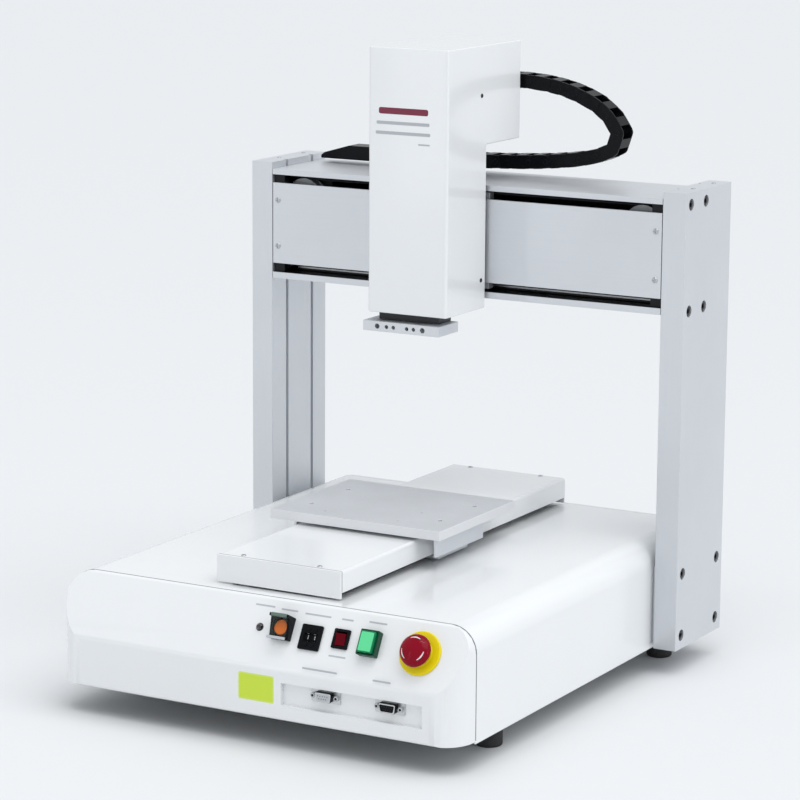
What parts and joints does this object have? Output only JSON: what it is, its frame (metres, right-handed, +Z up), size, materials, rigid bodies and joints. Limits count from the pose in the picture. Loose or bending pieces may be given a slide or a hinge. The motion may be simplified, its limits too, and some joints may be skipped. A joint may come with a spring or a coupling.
{
  "type": "benchtop gantry robot",
  "caption": "Benchtop Cartesian dispensing robot: white base with control panel, sliding table, two columns, a beam and a covered vertical head with a tool plate.",
  "frame": {"origin": "centre of the outer box, on the surface that the feet stand on", "axes": "+X to the right seen from the front, +Y from the control panel to the back, +Z up"},
  "size_m": [0.5, 0.534, 0.625],
  "materials": {
    "white_paint": "gloss",
    "anodised": "satin anodised",
    "matt_aluminium": "matt",
    "black_aluminium": "black anodised",
    "steel": "ground",
    "zinc": "zinc plated",
    "supply_case": "matt",
    "motor_case": "black satin",
    "circuit_board": "satin",
    "black_rubber": "matt",
    "black_plastic": "satin",
    "chain_plastic": "satin",
    "orange_plastic": "gloss",
    "red_plastic": "gloss",
    "yellow_plastic": "satin",
    "green_plastic": "gloss",
    "dark_green_plastic": "satin",
    "clear_plastic": "clear"
  },
  "bodies": {
    "root": {"base_plate": "zinc", "base_cover": "white_paint", "front_panel": "white_paint", "rear_panel": "white_paint", "foot_front_left": "black_rubber", "foot_front_right": "black_rubber", "foot_rear_left": "black_rubber", "foot_rear_right": "black_rubber", "power_supply": "supply_case", "controller_board": "circuit_board", "power_lamp": "red_plastic", "purge_housing": "black_plastic", "prog_switch_housing": "black_plastic", "mode_switch_housing": "black_plastic", "start_housing": "dark_green_plastic", "estop_ring": "yellow_plastic", "teach_connector": "zinc", "serial_connector": "zinc", "power_inlet": "black_plastic", "left_column": "anodised", "right_column": "anodised", "beam": "anodised", "x_cover_plate": "anodised", "x_rail": "steel", "x_belt": "black_rubber", "x_motor": "motor_case", "y_frame": "anodised", "y_rail": "steel", "y_belt": "black_rubber", "y_motor": "motor_case", "y_cover": "white_paint", "y_cover_front_plate": "white_paint", "chain_lower": "chain_plastic"},
    "head": {"x_carriage": "matt_aluminium", "head_frame": "matt_aluminium", "head_cover": "white_paint", "z_motor": "motor_case", "z_rail": "steel", "chain_upper": "chain_plastic", "chain_bracket": "zinc"},
    "z_axis": {"z_slider": "black_aluminium", "tool_plate": "anodised"},
    "z_screw": {"z_screw": "steel"},
    "x_drive_pulley": {"x_drive_pulley": "matt_aluminium"},
    "x_idler_pulley": {"x_idler_pulley": "matt_aluminium"},
    "chain_bend": {"chain_bend": "chain_plastic"},
    "table": {"y_guide_block": "steel", "table_bracket": "anodised", "table_plate": "matt_aluminium"},
    "y_drive_pulley": {"y_drive_pulley": "matt_aluminium"},
    "y_idler_pulley": {"y_idler_pulley": "matt_aluminium"},
    "purge_button": {"purge_button": "orange_plastic"},
    "purge_guard": {"purge_guard": "clear_plastic"},
    "prog_wheel_tens": {"prog_wheel_tens": "black_plastic"},
    "prog_wheel_units": {"prog_wheel_units": "black_plastic"},
    "mode_rocker": {"mode_rocker": "red_plastic"},
    "start_button": {"start_button": "green_plastic"},
    "estop_stem": {"estop_stem": "black_plastic"},
    "estop_head": {"estop_head": "red_plastic"},
    "main_rocker": {"main_rocker": "black_plastic"}
  },
  "joints": [
    {"name": "x_slide", "type": "slide", "parent": "root", "child": "head", "axis": [1, 0, 0], "range_m": [-0.1357, 0.1643], "deforming": ["chain_lower", "chain_upper"]},
    {"name": "z_slide", "type": "slide", "parent": "head", "child": "z_axis", "axis": [0, 0, 1], "range_m": [-0.1, 0]},
    {"name": "z_screw_turn", "type": "hinge", "parent": "head", "child": "z_screw", "pos_m": [-0.01435, 0.097, 0.45], "axis": [0, 0, 1], "continuous": true},
    {"name": "x_drive_turn", "type": "hinge", "parent": "root", "child": "x_drive_pulley", "pos_m": [-0.196, 0.165, 0.452], "axis": [0, 1, 0], "continuous": true},
    {"name": "x_idler_turn", "type": "hinge", "parent": "root", "child": "x_idler_pulley", "pos_m": [0.196, 0.165, 0.452], "axis": [0, 1, 0], "continuous": true},
    {"name": "chain_bend_slide", "type": "slide", "parent": "root", "child": "chain_bend", "axis": [1, 0, 0], "range_m": [-0.0679, 0.0822], "deforming": ["chain_bend"]},
    {"name": "y_slide", "type": "slide", "parent": "root", "child": "table", "axis": [0, 1, 0], "range_m": [-0.1356, 0.1644]},
    {"name": "y_drive_turn", "type": "hinge", "parent": "root", "child": "y_drive_pulley", "pos_m": [0.037, 0.218, 0.085], "axis": [1, 0, 0], "continuous": true},
    {"name": "y_idler_turn", "type": "hinge", "parent": "root", "child": "y_idler_pulley", "pos_m": [0.037, -0.176, 0.085], "axis": [1, 0, 0], "continuous": true},
    {"name": "purge_press", "type": "slide", "parent": "root", "child": "purge_button", "axis": [0, -0.8788, 0.4772], "range_m": [-0.003, 0], "stiffness_N_per_m": 400, "springref_m": 0.001},
    {"name": "purge_guard_flip", "type": "hinge", "parent": "root", "child": "purge_guard", "pos_m": [0.0269, -0.25344, 0.12605], "axis": [1, 0, 0], "range_deg": [-95, 0]},
    {"name": "prog_tens_turn", "type": "hinge", "parent": "root", "child": "prog_wheel_tens", "pos_m": [0.054, -0.24149, 0.10363], "axis": [1, 0, 0], "continuous": true},
    {"name": "prog_units_turn", "type": "hinge", "parent": "root", "child": "prog_wheel_units", "pos_m": [0.0612, -0.24149, 0.10363], "axis": [1, 0, 0], "continuous": true},
    {"name": "mode_rock", "type": "hinge", "parent": "root", "child": "mode_rocker", "pos_m": [0.0892, -0.24423, 0.10865], "axis": [1, 0, 0], "range_deg": [-16, 0]},
    {"name": "start_press", "type": "slide", "parent": "root", "child": "start_button", "axis": [0, -0.8788, 0.4772], "range_m": [-0.003, 0], "stiffness_N_per_m": 400, "springref_m": 0.001},
    {"name": "estop_press", "type": "slide", "parent": "root", "child": "estop_stem", "axis": [0, -0.8788, 0.4772], "range_m": [-0.004, 0]},
    {"name": "estop_twist", "type": "hinge", "parent": "estop_stem", "child": "estop_head", "pos_m": [0.1728, -0.24675, 0.1082], "axis": [0, -0.8788, 0.4772], "range_deg": [-45, 0], "stiffness_Nm_per_rad": 0.02, "springref_deg": 5.73},
    {"name": "main_rock", "type": "hinge", "parent": "root", "child": "main_rocker", "pos_m": [-0.11, 0.25774, 0.076], "axis": [1, 0, 0], "range_deg": [-16, 0]}
  ],
  "couplings": [
    {"joint": "x_drive_turn", "follows": "x_slide", "rad_per_m": 47.733},
    {"joint": "x_idler_turn", "follows": "x_slide", "rad_per_m": 47.733},
    {"joint": "chain_bend_slide", "follows": "x_slide", "ratio": 0.5},
    {"joint": "y_drive_turn", "follows": "y_slide", "rad_per_m": -66.445},
    {"joint": "y_idler_turn", "follows": "y_slide", "rad_per_m": -66.445},
    {"joint": "z_screw_turn", "follows": "z_slide", "rad_per_m": -628.32}
  ]
}
